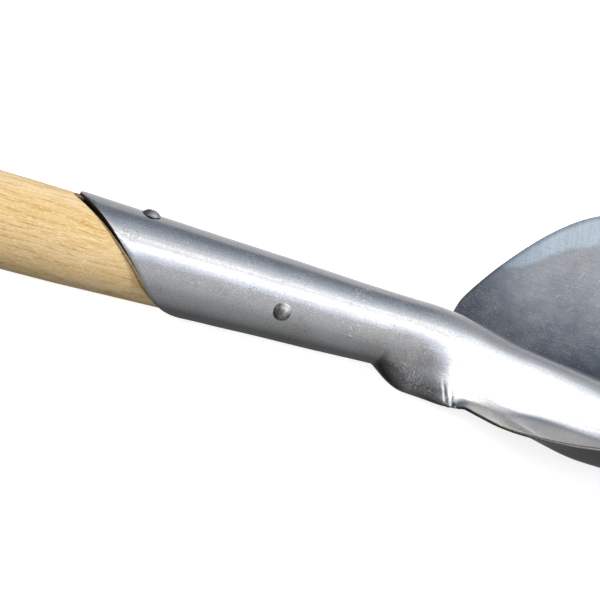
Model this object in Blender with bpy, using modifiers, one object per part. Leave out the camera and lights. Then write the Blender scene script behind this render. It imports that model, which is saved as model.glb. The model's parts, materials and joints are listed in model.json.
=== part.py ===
"""Long-handled post hole shovel: a pressed steel head on a turned ash handle.

The tool lies face up. +X runs along the handle towards the blade's point, +Z is
up, and the origin is on the ground under the middle of the whole tool.

The head is one sheet of steel. Its socket is rolled round the handle with the
seam underneath. At the neck the seam opens, the sheet's edges turn out as two
rolled shoulders, and the socket's round top runs on over the blade as a frog,
a hollow ridge that dies into the dished blade.

Everything is modelled in the handle's frame, in millimetres, with x = 0 on the
handle's axis between the two rivets. lay_down() turns it into the resting frame
and scales it to metres.
"""
import math

import bmesh
import bpy
from mathutils import Matrix, Vector

MM = 0.001

# Sheet and clearances
SHEET = 1.8
GAP = 0.3
SEAM_HALF_GAP = 0.35

# Socket: middle radius of the sheet at the mouth and at the neck
MOUTH_TIP_X = -69.5
MOUTH_BACK_X = -2.0
LIP_ROUNDING = 0.03
MOUTH_DROOP = 0.05
NECK_X = 76.0
MOUTH_RADIUS = 21.15
NECK_RADIUS = 16.0

# The mouth and both rivets are set round from the blade's own middle plane
SOCKET_TURN = math.radians(9.0)

# Rolled shoulders: the tube flares to an open ledge, then runs into the blade
SHOULDER_START_X = 75.0
BELL_X = 90.0
BELL_HASTE = 1.9
LEDGE_START_X = 79.0
LEDGE_X = 107.0
LEDGE_DELAY = 1.6
CREST_ROUNDING = 0.14
SHOULDER_OPEN_X = 97.0
EDGE_OPEN_END_X = 123.0
FLANK_OPEN_END_X = 152.0
RIDGE_RADIUS = 15.9
BELL_SECTION = (
    (0.0, RIDGE_RADIUS),
    (6.9, 14.3),
    (12.4, 9.9),
    (15.6, 3.4),
    (17.2, -5.0),
    (19.8, -13.2),
    (18.2, -17.7),
    (9.5, -19.2),
)
LEDGE_SECTION = (
    (0.0, RIDGE_RADIUS),
    (6.9, 14.2),
    (12.2, 10.3),
    (17.2, 5.0),
    (22.8, -1.0),
    (29.0, -8.0),
    (31.2, -13.1),
    (25.0, -15.5),
)

# Blade outline
BLADE_HALF_WIDTH = 118.0
WIDEST_X = 215.0
SHOULDER_SPAN = 111.0
SHOULDER_ROUNDNESS = 1.85
SHOULDER_PINCH = 4.9
TIP_X = 420.0
CORNER_HALF_WIDTH = 70.0

# Blade dish and lift
HEEL_Z = -12.5
HEEL_DROP = 4.5
TROUGH_NECK_HALF_WIDTH = 20.0
TROUGH_HALF_WIDTH = 38.0
WING_BEND = 1.35
WING_SOFTNESS = 0.06
DISH_DEPTH = 55.6
LIFT_SLOPE = 0.32
LIFT_X = 300.0
LIFT_SOFTNESS = 50.0

# Frog ridge
FROG_STEP = 4.8
FROG_STEP_START_X = 92.0
FROG_STEP_END_X = 143.0
FROG_FALL = 0.14
FROG_FALL_X = 118.0
FROG_FALL_SOFTNESS = 14.0
FROG_FADE_X = 190.0
FROG_END_X = 310.0
FROG_FOOT_NECK = 23.0
FROG_FOOT_BLADE = 38.0
FROG_SKIRT = 1.8
FROG_SKIRT_SHARE = 0.2
FROG_FOOT_COLUMN_NECK = 0.72
FROG_FOOT_COLUMN_BLADE = 0.5

# Handle
HANDLE_END_X = -1080.0
HANDLE_NOSE_X = 72.0
HANDLE_SWELL_X = -130.0
HANDLE_SWELL_RADIUS = 20.6
HANDLE_GRIP_RADIUS = 18.5
HANDLE_END_ROUND = 7.0

# Rivets
RIVET_HEAD_RADIUS = 4.1
RIVET_HEAD_HEIGHT = 2.4
RIVET_SHANK_RADIUS = 2.4
RIVET_HOLE_RADIUS = 2.7
FACE_RIVET_X = -37.5
SIDE_RIVET_X = 26.5

# The socket's rows turn from the mouth's slant to square by this x
SQUARE_X = 58.0
HALF_COUNT = 24


def clamp(value, low, high):
    return max(low, min(high, value))


def ease(start, end, x):
    """Goes smoothly from 0 at start to 1 at end."""
    t = clamp((x - start) / (end - start), 0.0, 1.0)
    return t * t * (3.0 - 2.0 * t)


def mix(a, b, t):
    return a + (b - a) * t


def socket_radius(x):
    """Middle radius of the sheet along the tapered socket."""
    t = (x - MOUTH_TIP_X) / (NECK_X - MOUTH_TIP_X)
    return mix(MOUTH_RADIUS, NECK_RADIUS, min(t, 1.0))


def socket_bore_radius(x):
    return socket_radius(x) - SHEET / 2.0


def socket_outer_radius(x):
    return socket_radius(x) + SHEET / 2.0


def catmull_rom(points, t):
    """Point on a smooth curve through the given points, t from 0 to 1."""
    last = len(points) - 1
    place = clamp(t, 0.0, 1.0) * last
    i = min(int(place), last - 1)
    u = place - i
    p1 = Vector(points[i])
    p2 = Vector(points[i + 1])
    p0 = Vector(points[i - 1]) if i > 0 else Vector((-p2.x, p2.y))
    p3 = Vector(points[i + 2]) if i + 2 <= last else p2 * 2.0 - p1
    a = p1 * 2.0
    b = (p2 - p0) * u
    c = (p0 * 2.0 - p1 * 5.0 + p2 * 4.0 - p3) * u * u
    d = (p1 * 3.0 - p0 - p2 * 3.0 + p3) * u * u * u
    return (a + b + c + d) * 0.5


def half_width(x):
    """Half the blade's width at x, from the shoulder to the round point."""
    if x < WIDEST_X:
        u = clamp((WIDEST_X - x) / SHOULDER_SPAN, 0.0, 0.915)
        pinch = SHOULDER_PINCH * ease(185.0, 125.0, x)
        return BLADE_HALF_WIDTH * math.sqrt(1.0 - u ** SHOULDER_ROUNDNESS) - pinch
    v = clamp((x - WIDEST_X) / (TIP_X - WIDEST_X), 0.0, 1.0)
    return BLADE_HALF_WIDTH * (1.0 - v ** 2.3) ** 0.62


def point_end_x(y):
    """x of the blade's rim where its half-width is y, on the point side."""
    left = 1.0 - (y / BLADE_HALF_WIDTH) ** (1.0 / 0.62)
    return WIDEST_X + (TIP_X - WIDEST_X) * left ** (1.0 / 2.3)


def floor_height(x):
    """Height of the dish's bottom line, before the frog is added."""
    run = x - LIFT_X
    lift = 0.5 * LIFT_SLOPE * (run + math.hypot(run, LIFT_SOFTNESS))
    return HEEL_Z - HEEL_DROP * ease(105.0, 185.0, x) + lift


def dish_rise(x, y):
    """How far the wing rises above the dish's bottom line at (x, y)."""
    quick = math.sin(0.5 * math.pi * clamp((x - 100.0) / 105.0, 0.0, 1.0))
    depth = DISH_DEPTH * mix(quick, ease(100.0, 205.0, x), 0.7)
    depth *= 1.0 - 0.3 * ease(WIDEST_X, TIP_X, x)
    width = half_width(min(x, WIDEST_X))
    trough = mix(TROUGH_NECK_HALF_WIDTH, TROUGH_HALF_WIDTH, ease(118.0, 165.0, x))
    trough = min(trough, 0.6 * width)
    out = max(0.0, abs(y) - trough) / (width - trough)
    soft = (1.0 + WING_SOFTNESS) * out / (out + WING_SOFTNESS)
    return depth * soft * out ** WING_BEND


def frog_slide(x):
    """Steady fall of the frog's crest, bending in gently past the neck."""
    run = x - FROG_FALL_X
    return 0.5 * FROG_FALL * (run + math.hypot(run, FROG_FALL_SOFTNESS))


def ridge_drop(x):
    """How far the crest lies below the socket's line."""
    step = FROG_STEP * ease(FROG_STEP_START_X, FROG_STEP_END_X, x)
    return step + frog_slide(x) - frog_slide(SHOULDER_START_X)


def ridge_height(x):
    """Height of the frog's crest before it fades into the blade."""
    return RIDGE_RADIUS - ridge_drop(x)


def frog_foot(x):
    """Half-width of the frog where its flank meets the dish."""
    return mix(FROG_FOOT_NECK, FROG_FOOT_BLADE, ease(150.0, 300.0, x))


def bell(t):
    """Falls from 1 at the crest to 0 at the foot, level at both."""
    t = min(t, 1.0)
    return 1.0 - 3.0 * t ** 2.7 + 2.0 * t ** 4.05


def blade_height(x, y):
    """Height of the blade's middle surface at (x, y)."""
    base = floor_height(x)
    fade = 1.0 - ease(FROG_FADE_X, FROG_END_X, x)
    crest = (ridge_height(x) - base) * fade
    flank = bell(abs(y) / frog_foot(x))
    skirt = bell(abs(y) / (FROG_SKIRT * frog_foot(x)))
    share = FROG_SKIRT_SHARE * ease(125.0, 165.0, x)
    return base + dish_rise(x, y) + crest * mix(flank, skirt, share)


def tube_angle(x, eta):
    """Angle round the socket from its face side: the seam is at eta 1."""
    return eta * (math.pi - SEAM_HALF_GAP / socket_radius(x))


def tube_point(x, eta):
    angle = tube_angle(x, eta)
    radius = socket_radius(x)
    return Vector((radius * math.sin(angle), radius * math.cos(angle)))


def blade_point(x, eta, width):
    """(y, z) on the right half of the blade: 0 on the crest, 1 on the rim."""
    foot = min(1.2 * frog_foot(x), 0.65 * width)
    column = mix(FROG_FOOT_COLUMN_NECK, FROG_FOOT_COLUMN_BLADE, ease(125.0, 190.0, x))
    if eta < column:
        y = foot * eta / column
    else:
        y = mix(foot, width, (eta - column) / (1.0 - column))
    return Vector((y, blade_height(x, y)))


def section_point(x, eta):
    """(y, z) on the right half of the sheet: 0 on the crest, 1 at its edge."""
    tube = tube_point(x, eta)
    if x <= SHOULDER_START_X:
        return tube
    t = min(1.0, (x - SHOULDER_START_X) / (BELL_X - SHOULDER_START_X))
    t = min(1.0, 1.1 * t * t / (t + 0.1))
    swell = 1.0 - (1.0 - t) ** BELL_HASTE
    point = tube.lerp(catmull_rom(BELL_SECTION, eta), swell)
    t = max(0.0, (x - LEDGE_START_X) / (LEDGE_X - LEDGE_START_X))
    excess = t ** LEDGE_DELAY - 1.0
    spread = 1.0 + 0.5 * (excess - math.hypot(excess, CREST_ROUNDING))
    point = point.lerp(catmull_rom(LEDGE_SECTION, eta), max(0.0, spread))
    point.y -= ridge_drop(x) * bell(point.x / RIDGE_RADIUS)
    if x <= SHOULDER_OPEN_X:
        return point
    end_x = mix(FLANK_OPEN_END_X, EDGE_OPEN_END_X, ease(0.45, 0.9, eta))
    blade = blade_point(x, eta, half_width(x))
    return point.lerp(blade, ease(SHOULDER_OPEN_X, end_x, x))


def mouth_x(angle):
    """The mouth's edge runs back evenly from a long lip on the face side."""
    turn = (angle - SOCKET_TURN + math.pi) % (2.0 * math.pi) - math.pi
    away = math.hypot(turn / math.pi, LIP_ROUNDING) - LIP_ROUNDING
    away -= MOUTH_DROOP * ease(0.4, 0.7, away) * ease(1.0, 0.75, away)
    return mix(MOUTH_TIP_X, MOUTH_BACK_X, away)


def steps(start, end, count):
    """count values from start towards end, end not included."""
    return [mix(start, end, i / count) for i in range(count)]


def whole_row(half_points):
    """A row from the left edge to the right edge out of its right half."""
    left = [Vector((p.x, -p.y, p.z)) for p in reversed(half_points[1:])]
    return left + half_points


def socket_row(t, etas):
    """A row round the socket: 0 on the slanted mouth, 1 square at the neck."""
    row = []
    for side, half in ((-1.0, reversed(etas[1:])), (1.0, etas)):
        for eta in half:
            angle = side * tube_angle(0.0, eta)
            x = mix(mouth_x(angle), SQUARE_X, t)
            y, z = tube_point(x, eta)
            row.append(Vector((x, side * y, z)))
    return row


def blade_row(v, etas):
    """A row across the blade: 0 at its widest, 1 on the rim of the point."""
    side_x = mix(WIDEST_X, point_end_x(CORNER_HALF_WIDTH), v)
    width = half_width(side_x)
    row = []
    for eta in etas:
        y = blade_point(side_x, eta, width).x
        reach = point_end_x(y / width * CORNER_HALF_WIDTH)
        x = mix(WIDEST_X, reach, v)
        row.append(Vector((x, y, blade_height(x, y))))
    return whole_row(row)


def head_rows():
    """Rows of points across the sheet, from the mouth to the point."""
    etas = [i / HALF_COUNT for i in range(HALF_COUNT + 1)]
    rows = [socket_row(t, etas) for t in steps(0.0, 1.0, 5)]
    stations = steps(SQUARE_X, SHOULDER_START_X, 2)
    stations += steps(SHOULDER_START_X, 112.0, 16)
    stations += steps(112.0, 130.0, 6)
    stations += steps(130.0, WIDEST_X, 9)
    for x in stations:
        half = [section_point(x, eta) for eta in etas]
        rows.append(whole_row([Vector((x, p.x, p.y)) for p in half]))
    rows += [blade_row(v, etas) for v in steps(0.0, 1.0, 13) + [1.0]]
    return rows


def add_object(name, mesh, collection, material):
    obj = bpy.data.objects.new(name, mesh)
    collection.objects.link(obj)
    if material is not None:
        mesh.materials.append(material)
    return obj


def make_material(name, colour, metallic, roughness):
    material = bpy.data.materials.new(name)
    material.use_nodes = True
    shader = material.node_tree.nodes["Principled BSDF"]
    shader.inputs["Base Color"].default_value = (*colour, 1.0)
    shader.inputs["Metallic"].default_value = metallic
    shader.inputs["Roughness"].default_value = roughness
    material.diffuse_color = (*colour, 1.0)
    return material


def smooth_round(mesh):
    mesh.shade_smooth()
    mesh.set_sharp_from_angle(angle=math.radians(35.0))


def make_head(collection, material):
    """The pressed sheet: a loft across the rows, mirrored and thickened."""
    rows = head_rows()
    mesh = bpy.data.meshes.new("blade_head")
    bm = bmesh.new()
    grid = [[bm.verts.new(p) for p in row] for row in rows]
    for low, high in zip(grid, grid[1:]):
        for i in range(len(low) - 1):
            bm.faces.new((low[i], high[i], high[i + 1], low[i + 1]))
    bmesh.ops.recalc_face_normals(bm, faces=bm.faces[:])
    bm.to_mesh(mesh)
    bm.free()
    smooth_round(mesh)
    head = add_object("blade_head", mesh, collection, material)
    thick = head.modifiers.new("sheet", "SOLIDIFY")
    thick.thickness = SHEET
    thick.offset = 0.0
    thick.use_even_offset = False
    thick.use_quality_normals = True
    return head


def make_turned(name, profile, collection, material, around):
    """A turned body from (radius, height) pairs running top to bottom."""
    mesh = bpy.data.meshes.new(name)
    bm = bmesh.new()
    previous = None
    for radius, height in profile:
        vert = bm.verts.new((radius, 0.0, height))
        if previous is not None:
            bm.edges.new((previous, vert))
        previous = vert
    bm.to_mesh(mesh)
    bm.free()
    obj = add_object(name, mesh, collection, material)
    turn = obj.modifiers.new("turned", "SCREW")
    turn.axis = "Z"
    turn.steps = around
    turn.render_steps = around
    turn.use_merge_vertices = True
    turn.merge_threshold = 0.0001
    turn.use_smooth_shade = True
    return obj


def handle_radius(x):
    """Handle radius: tapered in the socket, swelled beyond it, slim grip."""
    fit = socket_bore_radius(x) - GAP
    if x >= MOUTH_TIP_X:
        return fit
    if x >= HANDLE_SWELL_X:
        mouth = socket_bore_radius(MOUTH_TIP_X) - GAP
        t = (MOUTH_TIP_X - x) / (MOUTH_TIP_X - HANDLE_SWELL_X)
        return mix(mouth, HANDLE_SWELL_RADIUS, t * (2.0 - t))
    t = (HANDLE_SWELL_X - x) / (HANDLE_SWELL_X - HANDLE_END_X)
    return mix(HANDLE_SWELL_RADIUS, HANDLE_GRIP_RADIUS, ease(0.0, 1.0, t))


def handle_profile():
    """Profile from the nose in the neck down to the rounded free end."""
    nose = handle_radius(HANDLE_NOSE_X)
    profile = [(0.0, HANDLE_NOSE_X), (nose - 1.5, HANDLE_NOSE_X)]
    profile += [(nose, HANDLE_NOSE_X - 1.5)]
    profile += [(handle_radius(x), x) for x in (0.0, MOUTH_TIP_X)]
    profile += [(handle_radius(x), x) for x in steps(-80.0, -130.0, 4)]
    profile += [(handle_radius(x), x) for x in steps(-130.0, -1070.0, 12)]
    end_start = HANDLE_END_X + HANDLE_END_ROUND
    radius = handle_radius(HANDLE_END_X)
    for i in range(7):
        angle = 0.5 * math.pi * i / 6.0
        across = radius - HANDLE_END_ROUND * (1.0 - math.cos(angle))
        along = end_start - HANDLE_END_ROUND * math.sin(angle)
        profile.append((across, along))
    profile.append((0.0, HANDLE_END_X))
    return profile


def dome_profile(base, side):
    """Points over a rivet head: from the crown out to the rim, at base."""
    height = RIVET_HEAD_HEIGHT
    ball = (RIVET_HEAD_RADIUS ** 2 + height ** 2) / (2.0 * height)
    half_angle = math.asin(min(1.0, RIVET_HEAD_RADIUS / ball))
    points = []
    for i in range(8):
        angle = half_angle * i / 7.0
        up = base + height - ball + ball * math.cos(angle)
        points.append((ball * math.sin(angle), side * up))
    return points


def side_rivet_profile(seat):
    """Domed head, shank, and the tail hammered to a second dome."""
    upper = dome_profile(seat, 1.0)
    lower = [(r, h) for r, h in reversed(dome_profile(seat, -1.0))]
    shank = [(RIVET_SHANK_RADIUS, seat), (RIVET_SHANK_RADIUS, -seat)]
    return upper + shank + lower


def face_rivet_profile(seat, tail):
    """Domed head and shank: the tail is filed flush with the bare wood."""
    shank = [(RIVET_SHANK_RADIUS, seat), (RIVET_SHANK_RADIUS, -tail)]
    return dome_profile(seat, 1.0) + shank + [(0.0, -tail)]


def make_cutter(name, radius, length, matrix, collection):
    mesh = bpy.data.meshes.new(name)
    bm = bmesh.new()
    bmesh.ops.create_cone(
        bm,
        cap_ends=True,
        segments=32,
        radius1=radius,
        radius2=radius,
        depth=length,
        matrix=matrix,
    )
    bm.to_mesh(mesh)
    bm.free()
    cutter = add_object(name, mesh, collection, None)
    cutter.display_type = "WIRE"
    cutter.hide_render = True
    return cutter


def cut_with(obj, cutter):
    cut = obj.modifiers.new(cutter.name, "BOOLEAN")
    cut.operation = "DIFFERENCE"
    cut.solver = "EXACT"
    cut.object = cutter


def bake(obj, matrix):
    """Replaces the object's mesh by its evaluated mesh moved by matrix."""
    depsgraph = bpy.context.evaluated_depsgraph_get()
    mesh = bpy.data.meshes.new_from_object(obj.evaluated_get(depsgraph))
    mesh.name = obj.name
    obj.modifiers.clear()
    mesh.transform(matrix)
    obj.data = mesh


def lowest(obj, matrix):
    return min((matrix @ v.co).z for v in obj.data.vertices)


def resting_matrix(head, handle):
    """Turn about Y that sets the blade's belly and the free end level."""
    low = math.radians(-4.0)
    high = math.radians(4.0)
    for _ in range(40):
        middle = 0.5 * (low + high)
        turn = Matrix.Rotation(middle, 4, "Y")
        if lowest(head, turn) > lowest(handle, turn):
            low = middle
        else:
            high = middle
    return Matrix.Rotation(0.5 * (low + high), 4, "Y")


def lay_down(objects, head, handle):
    """Moves the tool into its resting frame and scales it to metres."""
    turn = resting_matrix(head, handle)
    ground = min(lowest(head, turn), lowest(handle, turn))
    xs = [(turn @ v.co).x for obj in objects for v in obj.data.vertices]
    middle = 0.5 * (min(xs) + max(xs))
    move = Matrix.Translation((-middle, 0.0, -ground))
    matrix = Matrix.Scale(MM, 4) @ move @ turn
    for obj in objects:
        obj.data.transform(matrix)


def main():
    for obj in list(bpy.data.objects):
        bpy.data.objects.remove(obj, do_unlink=True)

    tool = bpy.data.collections.new("post_hole_digger")
    cutters = bpy.data.collections.new("cutters")
    bpy.context.scene.collection.children.link(tool)
    bpy.context.scene.collection.children.link(cutters)

    steel = make_material("head_steel", (0.55, 0.56, 0.58), 1.0, 0.32)
    rivet_steel = make_material("rivet_steel", (0.42, 0.42, 0.42), 1.0, 0.38)
    ash = make_material("ash_wood", (0.78, 0.58, 0.33), 0.0, 0.5)

    head = make_head(tool, steel)
    handle = make_turned("handle", handle_profile(), tool, ash, 48)

    face_seat = socket_outer_radius(FACE_RIVET_X) + GAP
    face_tail = handle_radius(FACE_RIVET_X) - GAP
    side_seat = socket_outer_radius(SIDE_RIVET_X) + GAP
    face_profile = face_rivet_profile(face_seat, face_tail)
    side_profile = side_rivet_profile(side_seat)
    face_rivet = make_turned("face_rivet", face_profile, tool, rivet_steel, 32)
    side_rivet = make_turned("side_rivet", side_profile, tool, rivet_steel, 32)

    face_turn = Matrix.Rotation(-SOCKET_TURN, 4, "X")
    side_turn = Matrix.Rotation(0.5 * math.pi - SOCKET_TURN, 4, "X")
    face_place = Matrix.Translation((FACE_RIVET_X, 0.0, 0.0)) @ face_turn
    side_place = Matrix.Translation((SIDE_RIVET_X, 0.0, 0.0)) @ side_turn
    along_x = Matrix.Rotation(0.5 * math.pi, 4, "Y")

    bake(head, Matrix.Identity(4))
    bake(handle, along_x)
    bake(face_rivet, face_place)
    bake(side_rivet, side_place)

    face_cutter = make_cutter(
        "face_rivet_hole", RIVET_HOLE_RADIUS, 80.0, face_place, cutters
    )
    side_cutter = make_cutter(
        "side_rivet_hole", RIVET_HOLE_RADIUS, 80.0, side_place, cutters
    )
    pieces = [head, handle, face_rivet, side_rivet]
    lay_down(pieces + [face_cutter, side_cutter], head, handle)
    for obj in (head, handle):
        cut_with(obj, face_cutter)
        cut_with(obj, side_cutter)


main()
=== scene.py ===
"""Looks of the post hole digger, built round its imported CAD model.

The head, the handle and both rivets are replaced by finer pieces in the same
places. Shapes are worked out in millimetres in the handle's own frame: x = 0 on
the handle's axis between the rivets, +x towards the blade's point, +z out of
the blade's face, and the side that the camera sees at -y. TOOL takes that frame
to the part's frame, in metres.
"""
import json
import math

import bmesh
import bpy
from mathutils import Matrix, Vector, noise


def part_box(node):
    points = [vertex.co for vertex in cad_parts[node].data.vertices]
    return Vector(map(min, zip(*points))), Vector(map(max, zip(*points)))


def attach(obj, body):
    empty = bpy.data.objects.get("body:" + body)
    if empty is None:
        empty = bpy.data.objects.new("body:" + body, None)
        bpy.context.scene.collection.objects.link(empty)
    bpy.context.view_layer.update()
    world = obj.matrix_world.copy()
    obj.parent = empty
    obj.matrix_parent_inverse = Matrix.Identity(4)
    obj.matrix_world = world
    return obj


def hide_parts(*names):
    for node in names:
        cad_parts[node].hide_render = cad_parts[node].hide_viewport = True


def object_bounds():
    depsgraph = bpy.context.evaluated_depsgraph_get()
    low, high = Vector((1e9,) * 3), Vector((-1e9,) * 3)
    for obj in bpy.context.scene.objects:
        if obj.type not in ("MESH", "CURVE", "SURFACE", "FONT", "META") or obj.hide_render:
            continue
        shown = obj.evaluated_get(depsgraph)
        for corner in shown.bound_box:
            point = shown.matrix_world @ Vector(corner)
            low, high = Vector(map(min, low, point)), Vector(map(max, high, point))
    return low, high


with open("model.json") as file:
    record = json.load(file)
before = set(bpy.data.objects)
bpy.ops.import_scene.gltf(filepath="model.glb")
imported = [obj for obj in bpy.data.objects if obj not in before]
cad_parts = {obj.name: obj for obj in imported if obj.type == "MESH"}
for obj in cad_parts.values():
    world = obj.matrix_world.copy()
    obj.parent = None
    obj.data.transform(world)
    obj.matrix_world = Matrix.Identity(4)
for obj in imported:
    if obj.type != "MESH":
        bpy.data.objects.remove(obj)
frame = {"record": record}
cad_low, cad_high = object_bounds()

MM = 0.001

# Sheet and clearances
SHEET = 1.8
GAP = 0.3
SEAM_HALF_GAP = 0.35

# The shown sheet lies inside the CAD sheet, with room for its dents
SHOWN_SHEET = 1.3

# Socket: middle radius of the sheet at the mouth and at the neck
MOUTH_TIP_X = -69.5
MOUTH_BACK_X = -2.0
LIP_ROUNDING = 0.03
MOUTH_DROOP = 0.05
NECK_X = 76.0
MOUTH_RADIUS = 21.15
NECK_RADIUS = 16.0
SOCKET_TURN = math.radians(9.0)

# Rolled shoulders: the tube flares to an open ledge, then runs into the blade
SHOULDER_START_X = 75.0
BELL_X = 90.0
BELL_HASTE = 1.9
LEDGE_START_X = 79.0
LEDGE_X = 107.0
LEDGE_DELAY = 1.6
CREST_ROUNDING = 0.14
SHOULDER_OPEN_X = 97.0
EDGE_OPEN_END_X = 123.0
FLANK_OPEN_END_X = 152.0
RIDGE_RADIUS = 15.9
BELL_SECTION = (
    (0.0, RIDGE_RADIUS),
    (6.9, 14.3),
    (12.4, 9.9),
    (15.6, 3.4),
    (17.2, -5.0),
    (19.8, -13.2),
    (18.2, -17.7),
    (9.5, -19.2),
)
LEDGE_SECTION = (
    (0.0, RIDGE_RADIUS),
    (6.9, 14.2),
    (12.2, 10.3),
    (17.2, 5.0),
    (22.8, -1.0),
    (29.0, -8.0),
    (31.2, -13.1),
    (25.0, -15.5),
)

# Blade outline
BLADE_HALF_WIDTH = 118.0
WIDEST_X = 215.0
SHOULDER_SPAN = 111.0
SHOULDER_ROUNDNESS = 1.85
SHOULDER_PINCH = 4.9
TIP_X = 420.0
TIP_TAPER = 2.3
TIP_ROUNDNESS = 0.62
CORNER_HALF_WIDTH = 70.0

# Blade dish and lift
DISH_START_X = 100.0
DISH_FULL_X = 205.0
HEEL_Z = -12.5
HEEL_DROP = 4.5
TROUGH_NECK_HALF_WIDTH = 20.0
TROUGH_HALF_WIDTH = 38.0
WING_BEND = 1.35
WING_SOFTNESS = 0.06
DISH_DEPTH = 55.6
LIFT_SLOPE = 0.32
LIFT_X = 300.0
LIFT_SOFTNESS = 50.0

# Frog ridge
FROG_STEP = 4.8
FROG_STEP_START_X = 92.0
FROG_STEP_END_X = 143.0
FROG_FALL = 0.14
FROG_FALL_X = 118.0
FROG_FALL_SOFTNESS = 14.0
FROG_FADE_X = 190.0
FROG_END_X = 310.0
FROG_FOOT_NECK = 23.0
FROG_FOOT_BLADE = 38.0
FROG_SKIRT = 1.8
FROG_SKIRT_SHARE = 0.2
FROG_FOOT_COLUMN_NECK = 0.72
FROG_FOOT_COLUMN_BLADE = 0.5

# Handle
HANDLE_END_X = -1080.0
HANDLE_NOSE_X = 72.0
HANDLE_SWELL_X = -130.0
HANDLE_SWELL_RADIUS = 20.6
HANDLE_GRIP_RADIUS = 18.5
HANDLE_END_ROUND = 7.0
HANDLE_AROUND = 160

# Between these places the handle's rings lean to follow the socket's mouth
LEAN_INNER_X = 20.0
LEAN_OUTER_X = -180.0

# The turned wood lies this far inside the CAD handle, with its grain on it
GRAIN_SINK = 0.1

# The wood leans to the far side of its socket, which opens a gap on the near side
WOOD_SHIFT = Vector((0.0, 0.3, 0.1))

# Worn groove in the wood along the socket's mouth: from the mouth, along x
GROOVE_DEPTH = 1.2
GROOVE_OUTER = -2.4
GROOVE_INNER = 5.0

# Rivets, whose heads sit a little into the shown sheet
RIVET_SINK = 0.1
RIVET_AROUND = 56
RIVET_HEAD_RADIUS = 4.1
RIVET_HEAD_HEIGHT = 2.3
RIVET_SHANK_RADIUS = 2.4
FACE_RIVET_X = -37.5
SIDE_RIVET_X = 26.5

# Forming wrinkles beside the neck, and the sheet's small dents
WRINKLE_HEIGHT = 0.16
WRINKLE_PERIOD = 2.9
BROAD_DENT = 0.16
FINE_DENT = 0.05
EDGE_BEVEL = 0.3

# Mesh density of the head
SQUARE_X = 58.0
HALF_COUNT = 64

# Camera: how high it stands, how far it swings to the grip's side and how it rolls
VIEW_RISE = math.radians(25.0)
VIEW_SWING = math.radians(12.0)
VIEW_ROLL = math.radians(15.8)
VIEW_DISTANCE = 900.0
SENSOR_WIDTH = 36.0
LENS = 124.2

# How far the middle of the view lies right of and above the socket's x = 0
AIM_RIGHT = 34.78
AIM_UP = -7.83


def tool_matrix():
    """Handle's frame in mm to the part's frame in m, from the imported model."""
    end = frame["record"]["mounts"][0]
    along = -Vector(end["axis"]).normalized()
    low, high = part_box("side_rivet")
    origin = (low + high) / 2.0 - along * (SIDE_RIVET_X * MM)
    across = Vector((0.0, 1.0, 0.0))
    up = along.cross(across)
    turn = Matrix((along, across, up)).transposed().to_4x4()
    return Matrix.Translation(origin) @ turn @ Matrix.Scale(MM, 4)


TOOL = tool_matrix()


def clamp(value, low, high):
    return max(low, min(high, value))


def ease(start, end, x):
    t = clamp((x - start) / (end - start), 0.0, 1.0)
    return t * t * (3.0 - 2.0 * t)


def mix(a, b, t):
    return a + (b - a) * t


def socket_radius(x):
    t = (x - MOUTH_TIP_X) / (NECK_X - MOUTH_TIP_X)
    return mix(MOUTH_RADIUS, NECK_RADIUS, min(t, 1.0))


def catmull_rom(points, t):
    """A smooth curve through the points, mirrored at the first of them."""
    last = len(points) - 1
    place = clamp(t, 0.0, 1.0) * last
    i = min(int(place), last - 1)
    u = place - i
    p1 = Vector(points[i])
    p2 = Vector(points[i + 1])
    p0 = Vector(points[i - 1]) if i > 0 else Vector((-p2.x, p2.y))
    p3 = Vector(points[i + 2]) if i + 2 <= last else p2 * 2.0 - p1
    a = p1 * 2.0
    b = (p2 - p0) * u
    c = (p0 * 2.0 - p1 * 5.0 + p2 * 4.0 - p3) * u * u
    d = (p1 * 3.0 - p0 - p2 * 3.0 + p3) * u * u * u
    return (a + b + c + d) * 0.5


def half_width(x):
    """Half the blade's width, from its shoulder to its point."""
    if x < WIDEST_X:
        u = clamp((WIDEST_X - x) / SHOULDER_SPAN, 0.0, 0.915)
        pinch = SHOULDER_PINCH * ease(185.0, 125.0, x)
        return BLADE_HALF_WIDTH * math.sqrt(1.0 - u ** SHOULDER_ROUNDNESS) - pinch
    v = clamp((x - WIDEST_X) / (TIP_X - WIDEST_X), 0.0, 1.0)
    return BLADE_HALF_WIDTH * (1.0 - v ** TIP_TAPER) ** TIP_ROUNDNESS


def point_end_x(y):
    """Where the blade's rim lies, beyond its widest place."""
    left = 1.0 - (y / BLADE_HALF_WIDTH) ** (1.0 / TIP_ROUNDNESS)
    return WIDEST_X + (TIP_X - WIDEST_X) * left ** (1.0 / TIP_TAPER)


def floor_height(x):
    """Height of the trough along the blade's middle, before the frog."""
    run = x - LIFT_X
    lift = 0.5 * LIFT_SLOPE * (run + math.hypot(run, LIFT_SOFTNESS))
    return HEEL_Z - HEEL_DROP * ease(105.0, 185.0, x) + lift


def dish_rise(x, y):
    """How far the wings rise above the trough."""
    t = clamp((x - DISH_START_X) / (DISH_FULL_X - DISH_START_X), 0.0, 1.0)
    quick = math.sin(0.5 * math.pi * t)
    depth = DISH_DEPTH * mix(quick, ease(DISH_START_X, DISH_FULL_X, x), 0.7)
    depth *= 1.0 - 0.3 * ease(WIDEST_X, TIP_X, x)
    width = half_width(min(x, WIDEST_X))
    trough = mix(TROUGH_NECK_HALF_WIDTH, TROUGH_HALF_WIDTH, ease(118.0, 165.0, x))
    trough = min(trough, 0.6 * width)
    out = max(0.0, abs(y) - trough) / (width - trough)
    soft = (1.0 + WING_SOFTNESS) * out / (out + WING_SOFTNESS)
    return depth * soft * out ** WING_BEND


def frog_slide(x):
    """The frog's even fall past its step."""
    run = x - FROG_FALL_X
    return 0.5 * FROG_FALL * (run + math.hypot(run, FROG_FALL_SOFTNESS))


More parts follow.
